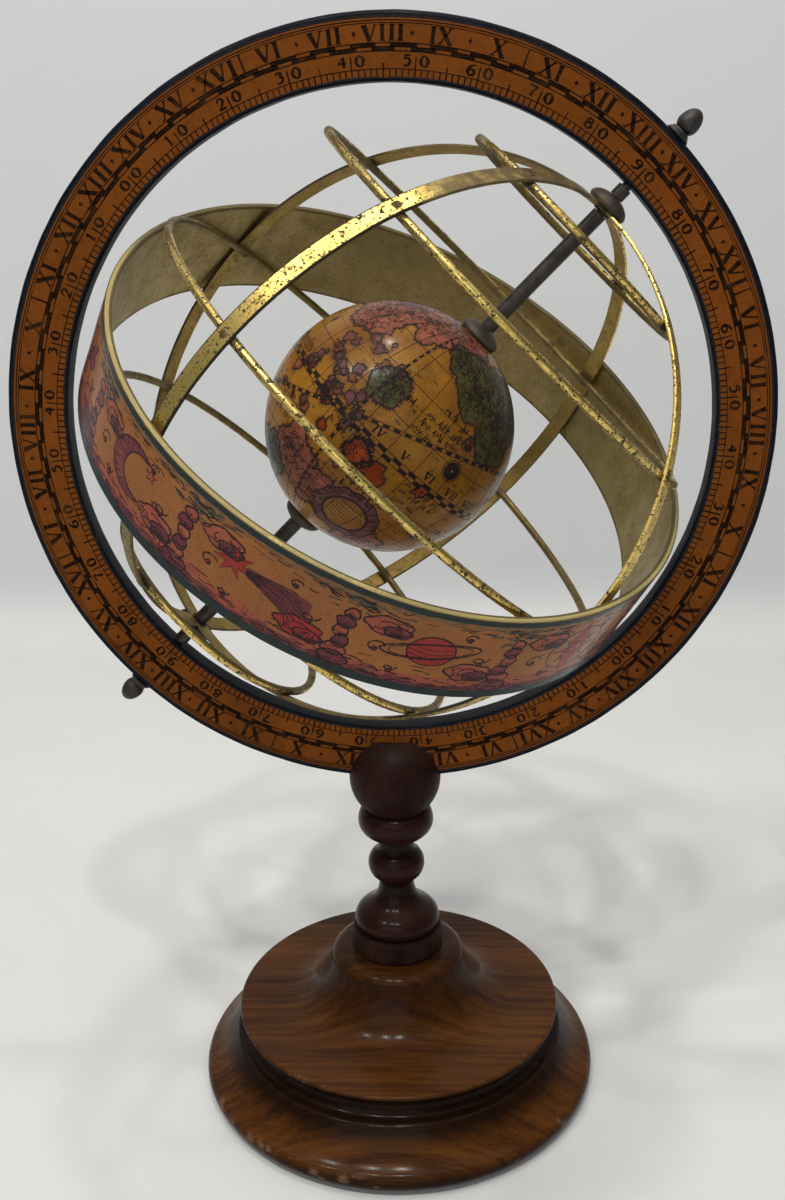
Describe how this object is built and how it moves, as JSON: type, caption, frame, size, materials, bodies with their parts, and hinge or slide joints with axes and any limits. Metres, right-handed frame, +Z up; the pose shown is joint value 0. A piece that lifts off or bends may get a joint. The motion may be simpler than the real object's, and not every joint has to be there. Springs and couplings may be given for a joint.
{
  "type": "armillary sphere",
  "caption": "Table armillary sphere: a papered globe inside a spinning brass cage with a zodiac band, on a tilted axis in a graduated wooden ring on a turned wood stand.",
  "frame": {"origin": "centre of the underside, on the surface that the stand rests on", "axes": "+Z up; the meridian ring stands in the XZ plane and its printed front faces -Y; the polar axis rises towards +X at 45 degrees"},
  "size_m": [0.24, 0.1852, 0.3563],
  "materials": {
    "felt": "matte felt",
    "base_wood": "glossy varnished straight-grained wood, worn at the nosing",
    "column_wood": "glossy dark red-brown varnished wood",
    "steel": "zinc-plated",
    "black_ring": "black lacquer",
    "scale_paper": "aged varnished paper with black line print",
    "rod_steel": "darkened",
    "bronze": "dark burnished bronze colour",
    "cage_brass": "lacquered brass with dark tarnish specks",
    "rivet_brass": "tarnished brass",
    "band_brass": "brass, dulled inside, bright rims",
    "band_paper": "aged varnished colour print",
    "globe_paper": "glossy varnished map print"
  },
  "bodies": {
    "stand": {"base_felt": "felt", "lower_base": "base_wood", "base_washer": "steel", "base_screw": "steel", "upper_base": "base_wood", "column_collar": "column_wood", "column": "column_wood", "ring_socket": "column_wood", "meridian_ring": "black_ring", "front_scale": "scale_paper", "back_scale": "scale_paper", "axis_rod": "rod_steel", "axis_finials": "bronze", "axis_spacers": "bronze", "axis_sleeves": "bronze"},
    "cage": {"solstitial_colure": "cage_brass", "equinoctial_colure": "cage_brass", "arctic_circle": "cage_brass", "cancer_tropic": "cage_brass", "equator_ring": "cage_brass", "capricorn_tropic": "cage_brass", "antarctic_circle": "cage_brass", "cage_rivets": "rivet_brass", "cage_hubs": "bronze", "cage_washers": "bronze", "zodiac_band": "band_brass", "band_rivets": "rivet_brass", "zodiac_print": "band_paper"},
    "globe": {"globe": "globe_paper", "globe_hubs": "bronze"}
  },
  "joints": [
    {"name": "cage_spin", "type": "hinge", "parent": "stand", "child": "cage", "pos_m": [0, 0, 0.23626], "axis": [0.7071, 0, 0.7071], "continuous": true},
    {"name": "globe_spin", "type": "hinge", "parent": "stand", "child": "globe", "pos_m": [0, 0, 0.23626], "axis": [0.7071, 0, 0.7071], "continuous": true}
  ]
}
